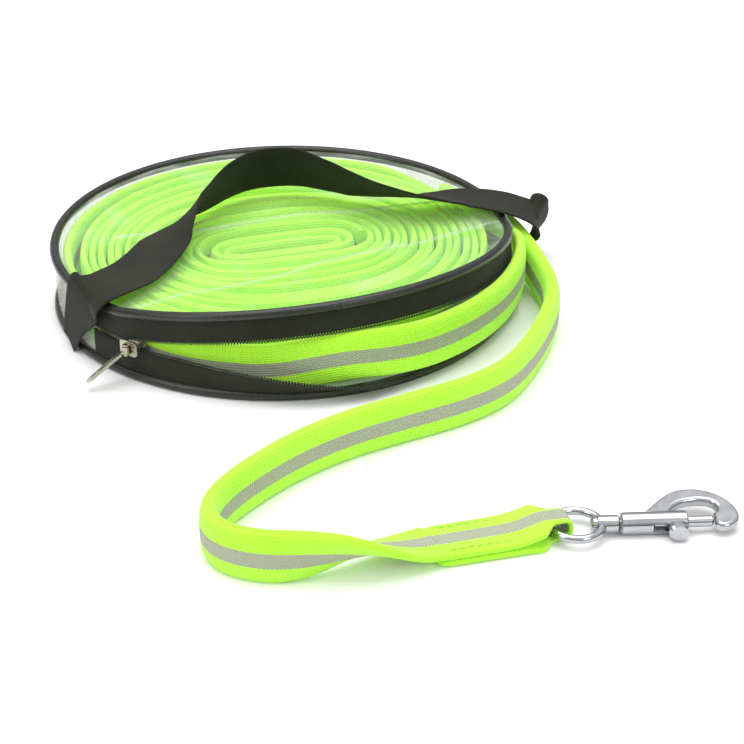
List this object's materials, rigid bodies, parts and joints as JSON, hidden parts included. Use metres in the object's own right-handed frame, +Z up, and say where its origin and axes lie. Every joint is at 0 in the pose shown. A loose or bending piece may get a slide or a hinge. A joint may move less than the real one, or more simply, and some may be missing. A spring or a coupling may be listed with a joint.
{
  "type": "training leash",
  "caption": "Flat padded webbing lunge line coiled in a round clear zip bag with a carrying handle, its free end sewn to a swivel bolt snap.",
  "frame": {"origin": "centre of the bag's round base, on the surface it rests on", "axes": "+Z up, -Y towards the open front of the zip, +X towards the side where the line leaves the bag"},
  "size_m": [0.3206, 0.4091, 0.0643],
  "materials": {
    "clear_film": "clear soft vinyl film, glossy, slightly creased",
    "piping": "black vinyl covered piping cord",
    "zip_tape": "black woven polyester tape",
    "zip_coil": "black nylon coil",
    "line_webbing": "neon green padded woven polyester with a grey woven stripe",
    "thread": "neon green sewing thread",
    "handle_webbing": "black woven polyester webbing",
    "slider_metal": "nickel plated zinc, slightly dull",
    "snap_metal": "polished nickel plated zinc casting",
    "spring_steel": "spring wire"
  },
  "bodies": {
    "root": {"base_panel": "clear_film", "base_piping": "piping", "rear_wall": "clear_film", "lid_film_rear": "clear_film", "lid_piping_rear": "piping", "upper_tape_stitched_end": "zip_tape", "lower_zip_tape": "zip_tape", "lower_zip_teeth": "zip_coil", "line_coil": "line_webbing", "hand_loop": "line_webbing", "line_outer_turn": "line_webbing", "line_tail": "line_webbing", "snap_loop": "line_webbing", "loop_stitching": "thread", "handle_left_end": "handle_webbing", "handle_right_end": "handle_webbing"},
    "flap": {"lid_film_flap": "clear_film", "lid_piping_flap": "piping", "upper_zip_tape": "zip_tape", "upper_zip_teeth": "zip_coil"},
    "slider": {"slider_body": "slider_metal", "slider_crown": "slider_metal"},
    "pull_tab": {"pull_tab": "slider_metal"},
    "handle": {"handle_strap": "handle_webbing"},
    "swivel_eye": {"swivel_eye": "snap_metal"},
    "snap": {"snap_body": "snap_metal", "swivel_rivet": "snap_metal", "bolt_spring": "spring_steel"},
    "bolt": {"bolt": "snap_metal", "thumb_knob": "snap_metal"}
  },
  "joints": [
    {"name": "flap_fold", "type": "hinge", "parent": "root", "child": "flap", "pos_m": [0.01964, -0.04027, 0.035], "axis": [-0.8988, -0.4384, 0], "range_deg": [0, 70]},
    {"name": "zip_slide", "type": "hinge", "parent": "root", "child": "slider", "pos_m": [0, 0, 0.02], "axis": [0, 0, 1], "range_deg": [-3.5, 15]},
    {"name": "tab_swing", "type": "hinge", "parent": "slider", "child": "pull_tab", "pos_m": [-0.07908, -0.10306, 0.02], "axis": [0, 0, 1], "range_deg": [-24, 105]},
    {"name": "handle_lift", "type": "hinge", "parent": "root", "child": "handle", "pos_m": [-0.092, -0.066, 0.038], "axis": [0.9082, 0.4185, 0], "range_deg": [0, 75]},
    {"name": "eye_swing", "type": "hinge", "parent": "root", "child": "swivel_eye", "pos_m": [0.1127, -0.2485, 0.0052], "axis": [0, -1, 0], "range_deg": [0, 35]},
    {"name": "snap_swivel", "type": "hinge", "parent": "swivel_eye", "child": "snap", "pos_m": [0.133, -0.2485, 0.0052], "axis": [1, 0, 0], "continuous": true},
    {"name": "bolt_slide", "type": "slide", "parent": "snap", "child": "bolt", "axis": [-1, 0, 0], "range_m": [0, 0.0085], "stiffness_N_per_m": 350, "springref_m": -0.006}
  ]
}
